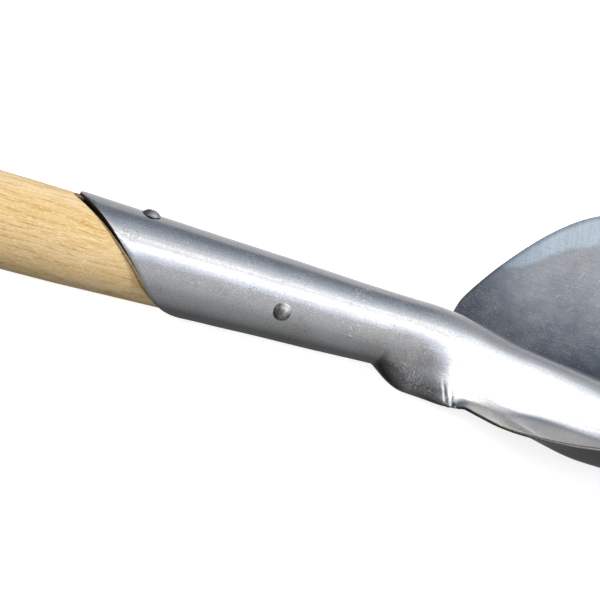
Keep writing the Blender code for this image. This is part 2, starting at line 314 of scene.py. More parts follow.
def ridge_drop(x):
    """How far the ridge lies below the socket's line."""
    step = FROG_STEP * ease(FROG_STEP_START_X, FROG_STEP_END_X, x)
    return step + frog_slide(x) - frog_slide(SHOULDER_START_X)


def ridge_height(x):
    return RIDGE_RADIUS - ridge_drop(x)


def frog_foot(x):
    return mix(FROG_FOOT_NECK, FROG_FOOT_BLADE, ease(150.0, 300.0, x))


def bell(t):
    """Falls from 1 at the crest to 0 at the foot, level at both."""
    t = min(t, 1.0)
    return 1.0 - 3.0 * t ** 2.7 + 2.0 * t ** 4.05


def blade_height(x, y):
    base = floor_height(x)
    fade = 1.0 - ease(FROG_FADE_X, FROG_END_X, x)
    crest = (ridge_height(x) - base) * fade
    flank = bell(abs(y) / frog_foot(x))
    skirt = bell(abs(y) / (FROG_SKIRT * frog_foot(x)))
    share = FROG_SKIRT_SHARE * ease(125.0, 165.0, x)
    return base + dish_rise(x, y) + crest * mix(flank, skirt, share)


def tube_angle(x, eta):
    return eta * (math.pi - SEAM_HALF_GAP / socket_radius(x))


def tube_point(x, eta):
    angle = tube_angle(x, eta)
    radius = socket_radius(x)
    return Vector((radius * math.sin(angle), radius * math.cos(angle)))


def blade_point(x, eta, width):
    foot = min(1.2 * frog_foot(x), 0.65 * width)
    column = mix(FROG_FOOT_COLUMN_NECK, FROG_FOOT_COLUMN_BLADE, ease(125.0, 190.0, x))
    if eta < column:
        y = foot * eta / column
    else:
        y = mix(foot, width, (eta - column) / (1.0 - column))
    return Vector((y, blade_height(x, y)))


def section_point(x, eta):
    """(y, z) on one half of the sheet: eta 0 on the crest, 1 at its edge."""
    tube = tube_point(x, eta)
    if x <= SHOULDER_START_X:
        return tube
    t = min(1.0, (x - SHOULDER_START_X) / (BELL_X - SHOULDER_START_X))
    t = min(1.0, 1.1 * t * t / (t + 0.1))
    swell = 1.0 - (1.0 - t) ** BELL_HASTE
    point = tube.lerp(catmull_rom(BELL_SECTION, eta), swell)
    t = max(0.0, (x - LEDGE_START_X) / (LEDGE_X - LEDGE_START_X))
    excess = t ** LEDGE_DELAY - 1.0
    spread = 1.0 + 0.5 * (excess - math.hypot(excess, CREST_ROUNDING))
    point = point.lerp(catmull_rom(LEDGE_SECTION, eta), max(0.0, spread))
    point.y -= ridge_drop(x) * bell(point.x / RIDGE_RADIUS)
    if x <= SHOULDER_OPEN_X:
        return point
    end_x = mix(FLANK_OPEN_END_X, EDGE_OPEN_END_X, ease(0.45, 0.9, eta))
    blade = blade_point(x, eta, half_width(x))
    return point.lerp(blade, ease(SHOULDER_OPEN_X, end_x, x))


def mouth_x(angle):
    turn = (angle - SOCKET_TURN + math.pi) % (2.0 * math.pi) - math.pi
    away = math.hypot(turn / math.pi, LIP_ROUNDING) - LIP_ROUNDING
    away -= MOUTH_DROOP * ease(0.4, 0.7, away) * ease(1.0, 0.75, away)
    return mix(MOUTH_TIP_X, MOUTH_BACK_X, away)


def steps(start, end, count):
    return [mix(start, end, i / count) for i in range(count)]


def whole_row(half_points):
    left = [Vector((p.x, -p.y, p.z)) for p in reversed(half_points[1:])]
    return left + half_points


def socket_row(t, etas):
    """A row that follows the slanted mouth at t = 0 and is square at t = 1."""
    row = []
    for side, half in ((-1.0, reversed(etas[1:])), (1.0, etas)):
        for eta in half:
            angle = side * tube_angle(0.0, eta)
            x = mix(mouth_x(angle), SQUARE_X, t)
            y, z = tube_point(x, eta)
            row.append(Vector((x, side * y, z)))
    return row


def blade_row(v, etas):
    """A row across the blade, which bends to its round point as v nears 1."""
    side_x = mix(WIDEST_X, point_end_x(CORNER_HALF_WIDTH), v)
    width = half_width(side_x)
    row = []
    for eta in etas:
        y = blade_point(side_x, eta, width).x
        reach = point_end_x(y / width * CORNER_HALF_WIDTH)
        x = mix(WIDEST_X, reach, v)
        row.append(Vector((x, y, blade_height(x, y))))
    return whole_row(row)


def head_rows():
    """Rows of points across the sheet, from the mouth to the blade's point."""
    etas = [i / HALF_COUNT for i in range(HALF_COUNT + 1)]
    rows = [socket_row(t, etas) for t in steps(0.0, 1.0, 36)]
    stations = steps(SQUARE_X, SHOULDER_START_X, 8)
    stations += steps(SHOULDER_START_X, 100.0, 28)
    stations += steps(100.0, 112.0, 36)
    stations += steps(112.0, 130.0, 14)
    stations += steps(130.0, WIDEST_X, 36)
    for x in stations:
        half = [section_point(x, eta) for eta in etas]
        rows.append(whole_row([Vector((x, p.x, p.y)) for p in half]))
    rows += [blade_row(v, etas) for v in steps(0.0, 1.0, 60) + [1.0]]
    return rows


def smooth_round(mesh, degrees=40.0):
    mesh.shade_smooth()
    mesh.set_sharp_from_angle(angle=math.radians(degrees))


def add_piece(name, mesh, material, node):
    """Puts a mesh in the scene as the piece that stands for a CAD node."""
    obj = bpy.data.objects.new(name, mesh)
    bpy.context.scene.collection.objects.link(obj)
    mesh.materials.append(material)
    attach(obj, "root")
    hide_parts(node)
    return obj


def wrinkle(point):
    """Forming wrinkles where the shoulder's ledge is pressed out, in mm."""
    lean = point.x + 0.35 * (point.z + 9.0)
    along = ease(102.5, 105.0, lean) * ease(111.5, 109.0, lean)
    down = ease(-4.5, -8.5, point.z) * ease(-14.5, -12.0, point.z)
    bend = noise.noise(point * 0.3) * 1.5
    wave = math.sin(2.0 * math.pi * lean / WRINKLE_PERIOD + bend)
    return WRINKLE_HEIGHT * along * down * wave


def dent(point, normal_out):
    """Small unevenness of the pressed sheet, along its normal, in mm."""
    broad = noise.noise(point * 0.035) * BROAD_DENT
    fine = noise.noise(point * 0.11 + Vector((7.0, 3.0, 1.0))) * FINE_DENT
    return normal_out * (broad + fine + wrinkle(point))


def make_head(material):
    rows = head_rows()
    mesh = bpy.data.meshes.new("steel_head")
    bm = bmesh.new()
    grid = [[bm.verts.new(p) for p in row] for row in rows]
    for low, high in zip(grid, grid[1:]):
        for i in range(len(low) - 1):
            bm.faces.new((low[i], high[i], high[i + 1], low[i + 1]))
    bmesh.ops.recalc_face_normals(bm, faces=bm.faces[:])
    bm.normal_update()
    for vert in bm.verts:
        vert.co += dent(vert.co, vert.normal)
    bm.to_mesh(mesh)
    bm.free()
    mesh.shade_smooth()
    obj = add_piece("steel_head", mesh, material, "blade_head")
    thick = obj.modifiers.new("sheet", "SOLIDIFY")
    thick.thickness = SHOWN_SHEET
    thick.offset = 0.0
    thick.use_even_offset = False
    thick.use_quality_normals = True
    edge = obj.modifiers.new("edge", "BEVEL")
    edge.width = EDGE_BEVEL
    edge.segments = 2
    edge.limit_method = "ANGLE"
    edge.angle_limit = math.radians(60.0)
    bake(obj, TOOL)
    smooth_round(obj.data, 50.0)
    return obj


def bake(obj, matrix):
    """Applies the modifiers and moves the mesh by matrix."""
    depsgraph = bpy.context.evaluated_depsgraph_get()
    mesh = bpy.data.meshes.new_from_object(obj.evaluated_get(depsgraph))
    mesh.name = obj.name
    obj.modifiers.clear()
    mesh.transform(matrix)
    obj.data = mesh


def handle_radius(x):
    fit = socket_radius(x) - SHEET / 2.0 - GAP
    if x >= MOUTH_TIP_X:
        return fit
    if x >= HANDLE_SWELL_X:
        mouth = socket_radius(MOUTH_TIP_X) - SHEET / 2.0 - GAP
        t = (MOUTH_TIP_X - x) / (MOUTH_TIP_X - HANDLE_SWELL_X)
        return mix(mouth, HANDLE_SWELL_RADIUS, t * (2.0 - t))
    t = (HANDLE_SWELL_X - x) / (HANDLE_SWELL_X - HANDLE_END_X)
    return mix(HANDLE_SWELL_RADIUS, HANDLE_GRIP_RADIUS, ease(0.0, 1.0, t))


def handle_nose_stations():
    """(x, radius) of the rings round the nose, inside the socket."""
    nose = handle_radius(HANDLE_NOSE_X)
    stations = [(HANDLE_NOSE_X, 0.01), (HANDLE_NOSE_X, nose * 0.5)]
    stations += [(HANDLE_NOSE_X, nose - 1.5), (HANDLE_NOSE_X - 0.5, nose - 0.5)]
    stations += [(x, handle_radius(x)) for x in steps(70.0, LEAN_INNER_X, 6)]
    return stations


def groove(past):
    """Depth of the worn groove, past mm inwards of the socket's mouth."""
    start = ease(GROOVE_OUTER - 0.35, GROOVE_OUTER + 0.35, past)
    return GROOVE_DEPTH * start * ease(GROOVE_INNER, 1.5, past)


def handle_mouth_ring(t, past, around):
    """(x, radius) round a ring that follows the mouth, square at t = 0 or 2."""
    ring = []
    for i in range(around):
        slanted = mouth_x(2.0 * math.pi * i / around) + past
        if t <= 1.0:
            x = mix(LEAN_INNER_X, slanted, t)
        else:
            x = mix(slanted, LEAN_OUTER_X, t - 1.0)
        depth = groove(past) if t == 1.0 else 0.0
        ring.append((x, handle_radius(x) - depth))
    return ring


def handle_grip_stations():
    """(x, radius) from the socket to the rounded free end."""
    end_start = HANDLE_END_X + HANDLE_END_ROUND
    stations = [(x, handle_radius(x)) for x in steps(LEAN_OUTER_X, end_start, 60)]
    radius = handle_radius(HANDLE_END_X)
    for i in range(9):
        angle = 0.5 * math.pi * i / 8.0
        across = radius - HANDLE_END_ROUND * (1.0 - math.cos(angle))
        stations.append((end_start - HANDLE_END_ROUND * math.sin(angle), across))
    stations += [(HANDLE_END_X, across * 0.5), (HANDLE_END_X, 0.01)]
    return stations


def grain_relief(x, angle):
    """Raised grain on the turned wood, in mm: ridges that run along it."""
    place = Vector((x * 0.012, math.cos(angle) * 6.0, math.sin(angle) * 6.0))
    fine = Vector((x * 0.03, math.cos(angle) * 19.0, math.sin(angle) * 19.0))
    return 0.05 * noise.noise(place) + 0.03 * noise.noise(fine)


def handle_rings(around):
    """Rings of (x, radius) pairs, from the nose to the free end."""
    rings = [[station] * around for station in handle_nose_stations()]
    rings += [handle_mouth_ring(t, 8.0, around) for t in steps(0.0, 1.0, 6)]
    for past in (8.0, 6.0, 5.0, 4.0, 3.0, 2.0, 1.0, 0.0, -0.8, -1.4, -1.75,
                 -2.05, -2.25, -2.4, -2.55, -2.8, -3.5):
        rings.append(handle_mouth_ring(1.0, past, around))
    rings += [handle_mouth_ring(1.0 + t, -3.5, around) for t in steps(0.03, 1.0, 60)]
    rings += [[station] * around for station in handle_grip_stations()]
    return rings


def make_handle(material):
    around = HANDLE_AROUND
    mesh = bpy.data.meshes.new("ash_handle")
    bm = bmesh.new()
    rings = []
    for places in handle_rings(around):
        ring = []
        for i, (x, radius) in enumerate(places):
            angle = 2.0 * math.pi * i / around
            relief = grain_relief(x, angle) - GRAIN_SINK if radius > 5.0 else 0.0
            r = radius + relief
            place = (x, r * math.sin(angle), r * math.cos(angle))
            ring.append(bm.verts.new(place))
        rings.append(ring)
    for low, high in zip(rings, rings[1:]):
        for i in range(around):
            j = (i + 1) % around
            bm.faces.new((low[i], low[j], high[j], high[i]))
    bm.faces.new(rings[0][::-1])
    bm.faces.new(rings[-1])
    bmesh.ops.recalc_face_normals(bm, faces=bm.faces[:])
    bm.to_mesh(mesh)
    bm.free()
    mesh.transform(TOOL @ Matrix.Translation(WOOD_SHIFT))
    smooth_round(mesh)
    return add_piece("ash_handle", mesh, material, "handle")


def dome_height(r):
    """Height of a rivet's hammered crown at radius r, from 0 at its rim."""
    height = RIVET_HEAD_HEIGHT
    ball = (RIVET_HEAD_RADIUS ** 2 + height ** 2) / (2.0 * height)
    return height - ball + math.sqrt(max(ball * ball - r * r, 0.0))


def rivet_rings(seat, far_end, second_head):
    """(radius, height) down a rivet's profile from its crown."""
    radii = [RIVET_HEAD_RADIUS * i / 14.0 for i in range(1, 14)]
    rings = [(r, seat + dome_height(r)) for r in radii]
    rings += [(RIVET_HEAD_RADIUS, seat + 0.25), (RIVET_HEAD_RADIUS - 0.1, seat)]
    rings += [(RIVET_SHANK_RADIUS, seat), (RIVET_SHANK_RADIUS, -far_end)]
    if second_head:
        head = rings[:len(radii) + 2]
        rings += [(r, -h) for r, h in reversed(head)]
    return rings


def make_rivet(name, rings, place, seed, material, node):
    """Turns the profile, with the hammer's blows on it, different for each seed."""
    around = RIVET_AROUND
    mesh = bpy.data.meshes.new(name)
    bm = bmesh.new()
    loops = []
    for radius, height in rings:
        loop = []
        for i in range(around):
            angle = 2.0 * math.pi * i / around
            p = Vector((radius * math.cos(angle), radius * math.sin(angle), height))
            blow = noise.noise(p * 0.55 + Vector((seed, 0.0, 0.0))) * 0.16
            facet = noise.noise(p * 1.3 + Vector((0.0, seed, 0.0))) * 0.06
            p.z += (blow + facet) * (1.0 if height > 0.0 else -1.0)
            p.x *= 1.0 + 0.03 * math.sin(2.0 * angle + seed)
            loop.append(bm.verts.new(p))
        loops.append(loop)
    for low, high in zip(loops, loops[1:]):
        for i in range(around):
            j = (i + 1) % around
            bm.faces.new((low[i], high[i], high[j], low[j]))
    bm.faces.new(loops[0])
    bm.faces.new(loops[-1][::-1])
    bmesh.ops.recalc_face_normals(bm, faces=bm.faces[:])
    bm.to_mesh(mesh)
    bm.free()
    mesh.transform(TOOL @ place)
    smooth_round(mesh, 55.0)
    return add_piece(name, mesh, material, node)


# Material helpers


class Nodes:
    """Short calls to add and join the nodes of one material."""

    def __init__(self, name):
        self.material = bpy.data.materials.new(name)
        self.material.use_nodes = True
        self.tree = self.material.node_tree
        self.shader = self.tree.nodes["Principled BSDF"]
        coords = self.add("ShaderNodeTexCoord")
        scale = self.add("ShaderNodeVectorMath", operation="SCALE")
        self.join(coords.outputs["Object"], scale.inputs[0])
        scale.inputs["Scale"].default_value = 1.0 / MM
        self.mm = scale.outputs[0]
        place = self.add("ShaderNodeMapping", vector_type="TEXTURE")
        origin, turn, _ = TOOL.decompose()
        place.inputs["Location"].default_value = origin / MM
        place.inputs["Rotation"].default_value = turn.to_euler()
        self.join(self.mm, place.inputs["Vector"])
        self.tool = place.outputs[0]

    def add(self, kind, **settings):
        node = self.tree.nodes.new(kind)
        for key, value in settings.items():
            setattr(node, key, value)
        return node

    def join(self, source, target):
        if isinstance(source, (int, float, tuple)):
            target.default_value = source
        else:
            self.tree.links.new(source, target)

    def math(self, operation, a, b=0.0, clamped=False):
        node = self.add("ShaderNodeMath", operation=operation)
        node.use_clamp = clamped
        self.join(a, node.inputs[0])
        self.join(b, node.inputs[1])
        return node.outputs[0]

    def place(self, axis):
        """The place along one axis of the handle's frame, in mm."""
        split = self.add("ShaderNodeSeparateXYZ")
        self.join(self.tool, split.inputs[0])
        return split.outputs[axis]

    def facing(self, axis):
        """How far the surface faces along one axis of the part, from -1 to 1."""
        geometry = self.add("ShaderNodeNewGeometry")
        split = self.add("ShaderNodeSeparateXYZ")
        self.join(geometry.outputs["True Normal"], split.inputs[0])
        return split.outputs[axis]

    def mapped(self, vector, scale=(1, 1, 1), turn=(0, 0, 0), shift=(0, 0, 0)):
        """Turns the place by degrees, then stretches it."""
        spin = self.add("ShaderNodeVectorRotate", rotation_type="EULER_XYZ")
        self.join(vector, spin.inputs["Vector"])
        spin.inputs["Rotation"].default_value = [math.radians(d) for d in turn]
        node = self.add("ShaderNodeMapping")
        self.join(spin.outputs[0], node.inputs["Vector"])
        node.inputs["Scale"].default_value = scale
        node.inputs["Location"].default_value = shift
        return node.outputs[0]

    def noise(self, vector, scale, detail=3.0, rough=0.5, distortion=0.0):
        node = self.add("ShaderNodeTexNoise")
        self.join(vector, node.inputs["Vector"])
        node.inputs["Scale"].default_value = scale
        node.inputs["Detail"].default_value = detail
        node.inputs["Roughness"].default_value = rough
        node.inputs["Distortion"].default_value = distortion
        return node.outputs["Fac"]

    def span(self, value, low, high, to_low=0.0, to_high=1.0):
        """Maps low..high to to_low..to_high, smoothly and clamped."""
        node = self.add("ShaderNodeMapRange", interpolation_type="SMOOTHSTEP")
        self.join(value, node.inputs["Value"])
        node.inputs["From Min"].default_value = low
        node.inputs["From Max"].default_value = high
        node.inputs["To Min"].default_value = to_low
        node.inputs["To Max"].default_value = to_high
        return node.outputs[0]

    def near(self, point, radius, softness):
        """1 within radius mm of a point in the part's frame, 0 beyond."""
        node = self.add("ShaderNodeVectorMath", operation="DISTANCE")
        self.join(self.mm, node.inputs[0])
        node.inputs[1].default_value = [c / MM for c in point]
        return self.span(node.outputs["Value"], radius, radius + softness, 1.0, 0.0)

    def blend(self, fac, a, b):
        node = self.add("ShaderNodeMix", data_type="RGBA")
        self.join(fac, node.inputs["Factor"])
        self.join(a, node.inputs[6])
        self.join(b, node.inputs[7])
        return node.outputs[2]

    def bump(self, height, strength, distance, normal=None):
        node = self.add("ShaderNodeBump")
        self.join(height, node.inputs["Height"])
        node.inputs["Strength"].default_value = strength
        node.inputs["Distance"].default_value = distance * MM
        if normal is not None:
            self.join(normal, node.inputs["Normal"])
        return node.outputs[0]


# Steel colours
STEEL_COOL = (0.60, 0.615, 0.64, 1.0)
STEEL_PALE = (0.69, 0.695, 0.70, 1.0)
STEEL_GRAIN = (0.56, 0.57, 0.60, 1.0)
# Painted dark reflection on the dish's wings, mottled between these two
WING_REFLECTION_DARK = (0.09, 0.105, 0.135, 1.0)
WING_REFLECTION_LIGHT = (0.15, 0.16, 0.18, 1.0)
# Painted shade on the blade's downward side
BLADE_BACK_SHADE_GREY = (0.20, 0.20, 0.21, 1.0)
SCRATCH_GREY = (0.62, 0.61, 0.58, 1.0)
# Painted pale blue reflection band along the dish's rim
RIM_REFLECTION_BLUE = (0.36, 0.44, 0.51, 1.0)
# Painted bright reflection along the frog's foot on the near side
STRIP_REFLECTION_BEIGE = (0.92, 0.88, 0.82, 1.0)
STAIN_BROWN = (0.42, 0.37, 0.30, 1.0)
PIT_BROWN = (0.10, 0.07, 0.05, 1.0)
# Painted glint on the small press marks
PRESS_MARK_GLINT_WHITE = (0.95, 0.95, 0.95, 1.0)
CUT_EDGE_BROWN = (0.05, 0.035, 0.02, 1.0)

# Rivet colours
RIVET_DARK = (0.32, 0.32, 0.325, 1.0)
RIVET_PALE = (0.58, 0.575, 0.57, 1.0)
RUST = (0.16, 0.08, 0.045, 1.0)

# Wood colours
ASH_WARM = (0.67, 0.49, 0.24, 1.0)
ASH_PALE = (0.79, 0.62, 0.38, 1.0)
FIBRE_TAN = (0.55, 0.36, 0.14, 1.0)
LATE_WOOD = (0.50, 0.29, 0.08, 1.0)
PORE_ORANGE = (0.50, 0.28, 0.07, 1.0)
FLECK_CREAM = (0.92, 0.78, 0.56, 1.0)
# Painted shadow on the wood at the socket's mouth
MOUTH_SHADOW_BLACK = (0.012, 0.009, 0.006, 1.0)
RING_SPACING = 3.1

# Floor, and how far it lies below the tool
FLOOR_DROP = 0.4
FLOOR_GREY = (0.90, 0.90, 0.90, 1.0)
FLOOR_PALE = (0.93, 0.93, 0.93, 1.0)
FLOOR_GLOW = 0.78

# Scratches: degrees to turn the lines by, fineness across, threshold, shift
SCRATCH_WAYS = (
    ((20, 10, 65), 2.0, 0.635, (11, 5, 2)),
    ((-15, 35, -50), 2.2, 0.635, (1, 17, 6)),
    ((40, 70, 20), 1.8, 0.635, (9, 2, 13)),
    ((0, 55, 35), 2.6, 0.635, (5, 12, 3)),
)

# Grimy places: beside the neck and below the side rivet
NECK_GRIME = Vector((88.0, -20.0, -8.0))
RIVET_GRIME = Vector((33.0, -18.0, -9.0))

# Press marks, each with a painted glint: x along the tube, degrees from its face side
# towards the camera, size
CURL_PLACES = (
    (-46.0, 42.0, 3.5),
    (-44.0, 75.0, 3.0),
    (61.0, 22.0, 4.0),
    (96.0, 20.0, 3.0),
    (12.0, 64.0, 2.5),
    (58.0, 80.0, 3.0),
)


def scratch_set(nodes, turn, fine, threshold, patch_scale, shift):
    """Thin straight scratches one way across, in patches."""
    along = nodes.mapped(nodes.mm, (0.05, fine, fine), turn, shift)
    lines = nodes.noise(along, 1.0, 2.0, 0.6)
    thin = nodes.span(lines, threshold, threshold + 0.03)
    patch = nodes.noise(nodes.mapped(nodes.mm, shift=shift), patch_scale, 2.0)
    return nodes.math("MULTIPLY", thin, nodes.span(patch, 0.45, 0.6))


def wing_painted_reflections(nodes, mottling):
    """Where the dish's painted dark reflection lies, and the painted paler reflection band
    along its rim.
    """
    x = nodes.place("X")
    y = nodes.place("Y")
    out = nodes.math("ABSOLUTE", y)
    wander = nodes.math("MULTIPLY", nodes.math("SUBTRACT", mottling, 0.5), 14.0)
    far = nodes.span(nodes.math("ADD", y, wander), 30.0, 46.0)
    near_side_reach = nodes.math("SUBTRACT", wander, y)
    beyond_strip_reflection = nodes.math("ADD", x, nodes.math("MULTIPLY", wander, 3.0))
    near = nodes.math("MULTIPLY", nodes.span(near_side_reach, 34.0, 50.0),
                      nodes.span(beyond_strip_reflection, 188.0, 250.0))
    past_frog = nodes.math("MAXIMUM", far, near)
    past_neck = nodes.span(x, 108.0, 122.0)
    # Where the wings get the painted dark reflection
    scale = nodes.math("MULTIPLY", past_frog, past_neck)
    # Distance in from the rim, by the outline that half_width gives
    u = nodes.math("DIVIDE", nodes.math("SUBTRACT", WIDEST_X, x), SHOULDER_SPAN)
    u = nodes.math("MAXIMUM", u, 0.0)
    fall = nodes.math("POWER", u, SHOULDER_ROUNDNESS)
    rim = nodes.math("SQRT", nodes.math("SUBTRACT", 1.0, fall))
    rim = nodes.math("MULTIPLY", rim, BLADE_HALF_WIDTH)
    inset = nodes.math("SUBTRACT", rim, out)
    # Painted reflection band along the rim, widening towards the blade
    width = nodes.span(x, 128.0, 160.0, 0.0, 11.5)
    ragged = nodes.math("MULTIPLY", nodes.math("SUBTRACT", mottling, 0.5), 5.0)
    edge = nodes.math("SUBTRACT", nodes.math("ADD", inset, ragged), width)
    band = nodes.math("MULTIPLY", nodes.span(edge, -1.5, 1.5, 1.0, 0.0), scale)
    low = nodes.span(out, 48.0, 86.0, 0.91, 0.74)
    return nodes.math("MULTIPLY", scale, low), nodes.math("MULTIPLY", band, 0.8)


def curled_marks_and_glints(nodes):
    """Small curled press marks with a painted glint, in a few places on the tube."""
    field = nodes.noise(nodes.mm, 0.32, 1.0)
    off = nodes.math("ABSOLUTE", nodes.math("SUBTRACT", field, 0.5))
    line = nodes.span(off, 0.006, 0.018, 1.0, 0.0)
    places = None
    for x, angle, reach in CURL_PLACES:
        turn = math.radians(angle)
        radius = socket_radius(x)
        place = Vector((x, -radius * math.sin(turn), radius * math.cos(turn)))
        spot = nodes.near(TOOL @ place, reach, 1.5)
        places = spot if places is None else nodes.math("MAXIMUM", places, spot)
    return nodes.math("MULTIPLY", line, places)


def mouth_edge(nodes):
    """1 on the sheet's dark cut edge round the socket's mouth."""
    cut = nodes.span(nodes.facing("X"), -0.45, -0.6)
    return nodes.math("MULTIPLY", cut, nodes.span(nodes.place("X"), 20.0, 10.0))


def painted_strip_reflection(nodes, wing_dark_reflection):
    """Painted bright reflection along the frog's foot on the near side."""
    near_side = nodes.span(nodes.place("Y"), -22.0, -28.0)
    x = nodes.place("X")
    along = nodes.math("MULTIPLY", nodes.span(x, 110.0, 118.0),
                       nodes.span(x, 250.0, 188.0))
    outside_dark_reflection = nodes.math("SUBTRACT", 1.0, wing_dark_reflection)
    face_side = nodes.span(nodes.facing("Z"), 0.0, 0.2)
    here = nodes.math("MULTIPLY", nodes.math("MULTIPLY", near_side, along), outside_dark_reflection)
    return nodes.math("MULTIPLY", here, face_side)


def blade_back_shade(nodes):
    """1 on the side of the blade that faces the ground, past the neck, where shade is
    painted.
    """
    down = nodes.span(nodes.facing("Z"), -0.05, -0.3)
    return nodes.math("MULTIPLY", down, nodes.span(nodes.place("X"), 116.0, 140.0))


def steel_material():
    nodes = Nodes("satin_steel")
    mottling = nodes.noise(nodes.mm, 0.05, 5.0, 0.6)
    grain = nodes.noise(nodes.mm, 1.1, 4.0, 0.65)
    scratches = scratch_set(nodes, (0, 0, 12), 2.4, 0.62, 0.06, (3, 1, 8))
    for turn, fine, threshold, shift in SCRATCH_WAYS:
        more = scratch_set(nodes, turn, fine, threshold, 0.07, shift)
        scratches = nodes.math("MAXIMUM", scratches, more)

    drawn = nodes.noise(nodes.mapped(nodes.tool, (0.006, 0.55, 0.55)), 1.0, 4.0, 0.6)
    wing_dark_reflection, rim_reflection_band = wing_painted_reflections(nodes, mottling)
    curl_marks_and_glints = curled_marks_and_glints(nodes)
    strip_reflection = painted_strip_reflection(nodes, wing_dark_reflection)
    cut_edge = mouth_edge(nodes)
    neck = nodes.near(TOOL @ NECK_GRIME, 10.0, 22.0)
    below_rivet = nodes.near(TOOL @ RIVET_GRIME, 4.0, 12.0)
    dirty = nodes.math("MAXIMUM", neck, below_rivet)
    pits = nodes.noise(nodes.mm, 0.9, 3.0, 0.7, 0.6)
    many = nodes.span(pits, 0.64, 0.69)
    few = nodes.span(pits, 0.755, 0.79)
    specks = nodes.math("MULTIPLY", many, dirty)
    specks = nodes.math("MAXIMUM", specks, few)

    tone = nodes.span(mottling, 0.3, 0.7)
    colour = nodes.blend(tone, STEEL_COOL, STEEL_PALE)
    colour = nodes.blend(nodes.span(grain, 0.35, 0.7), colour, STEEL_GRAIN)
    blotch = nodes.noise(nodes.mm, 0.12, 4.0, 0.6)
    # Painted dark reflection on the dish's wings, mottled
    scale = nodes.blend(nodes.span(blotch, 0.35, 0.65), WING_REFLECTION_DARK, WING_REFLECTION_LIGHT)
    colour = nodes.blend(wing_dark_reflection, colour, scale)
    # Painted shade on the blade's downward side, past the neck
    underside_shade = nodes.math("MULTIPLY", blade_back_shade(nodes), 0.85)
    colour = nodes.blend(underside_shade, colour, BLADE_BACK_SHADE_GREY)
    colour = nodes.blend(nodes.math("MULTIPLY", scratches, 0.4), colour, SCRATCH_GREY)
    # Painted pale reflection band along the rim, broken into streaks
    strokes = nodes.noise(nodes.mapped(nodes.tool, (0.8, 0.07, 0.07)), 1.0, 3.0, 0.6)
    streaked_rim_reflection = nodes.math("MULTIPLY", rim_reflection_band, nodes.span(strokes, 0.3, 0.6, 0.6, 1.0))
    colour = nodes.blend(streaked_rim_reflection, colour, RIM_REFLECTION_BLUE)
    # Painted bright reflection strip on the near side
    colour = nodes.blend(strip_reflection, colour, STRIP_REFLECTION_BEIGE)
    stained = nodes.math("MULTIPLY", dirty, nodes.span(mottling, 0.35, 0.65))
    stained = nodes.math("MULTIPLY", stained, 0.35)
    colour = nodes.blend(stained, colour, STAIN_BROWN)
    colour = nodes.blend(specks, colour, PIT_BROWN)
    # Press marks: painted white glint, with real relief from the bump below
    colour = nodes.blend(curl_marks_and_glints, colour, PRESS_MARK_GLINT_WHITE)
    colour = nodes.blend(cut_edge, colour, CUT_EDGE_BROWN)
    nodes.join(colour, nodes.shader.inputs["Base Color"])

    metal = nodes.math("SUBTRACT", 1.0, nodes.math("MULTIPLY", specks, 0.7))
    nodes.join(metal, nodes.shader.inputs["Metallic"])
    rough = nodes.span(mottling, 0.3, 0.7, 0.07, 0.12)
    rough = nodes.math("ADD", rough, nodes.math("MULTIPLY", wing_dark_reflection, 0.12))
    rough = nodes.math("ADD", rough, nodes.math("MULTIPLY", scratches, 0.18))
    rough = nodes.math("ADD", rough, nodes.math("MULTIPLY", specks, 0.4), True)
    nodes.join(rough, nodes.shader.inputs["Roughness"])

    long_lines = nodes.bump(drawn, 0.22, 0.25)
    fine = nodes.bump(grain, 0.07, 0.05, long_lines)
    lines = nodes.bump(nodes.math("SUBTRACT", 1.0, scratches), 0.5, 0.07, fine)
    lines = nodes.bump(curl_marks_and_glints, 0.8, 0.25, lines)
    holes = nodes.bump(nodes.math("SUBTRACT", 1.0, specks), 0.5, 0.15, lines)
    nodes.join(holes, nodes.shader.inputs["Normal"])
    return nodes.material


def rivet_material():
    nodes = Nodes("rivet_dull_steel")
    patches = nodes.noise(nodes.mm, 0.35, 4.0, 0.6)
    pits = nodes.noise(nodes.mm, 1.6, 3.0, 0.6)
    rubbed = nodes.span(patches, 0.35, 0.65)
    colour = nodes.blend(rubbed, RIVET_DARK, RIVET_PALE)
    rust = nodes.span(pits, 0.66, 0.74)
    colour = nodes.blend(rust, colour, RUST)
    nodes.join(colour, nodes.shader.inputs["Base Color"])
    metal = nodes.math("SUBTRACT", 1.0, nodes.math("MULTIPLY", rust, 0.8))
    nodes.join(metal, nodes.shader.inputs["Metallic"])
    nodes.join(nodes.span(pits, 0.3, 0.7, 0.3, 0.42), nodes.shader.inputs["Roughness"])
    nodes.join(nodes.bump(pits, 0.3, 0.1), nodes.shader.inputs["Normal"])
    return nodes.material


def mouth_painted_shadow(nodes):
    """1 on the wood in and just outside the socket's slanted mouth, where the socket's
    shadow is painted black.
    """
    angle = nodes.math("ARCTAN2", nodes.place("Y"), nodes.place("Z"))
    turn = nodes.math("SUBTRACT", angle, SOCKET_TURN)
    wrap = nodes.add("ShaderNodeMath", operation="WRAP")
    nodes.join(turn, wrap.inputs[0])
    wrap.inputs[1].default_value = math.pi
    wrap.inputs[2].default_value = -math.pi
    away = nodes.math("DIVIDE", nodes.math("ABSOLUTE", wrap.outputs[0]), math.pi)
    rising = nodes.span(away, 0.4, 0.7, 0.0, MOUTH_DROOP)
    droop = nodes.math("MULTIPLY", rising, nodes.span(away, 0.75, 1.0, 1.0, 0.0))
    away = nodes.math("SUBTRACT", away, droop)
    run = nodes.math("MULTIPLY", away, MOUTH_BACK_X - MOUTH_TIP_X)
    edge = nodes.math("ADD", run, MOUTH_TIP_X)
    past = nodes.math("SUBTRACT", nodes.place("X"), edge)
    uneven = nodes.noise(nodes.tool, 0.35, 2.0)
    past = nodes.math("ADD", past, nodes.math("MULTIPLY", uneven, 0.7))
    return nodes.span(past, -2.2, -1.6)


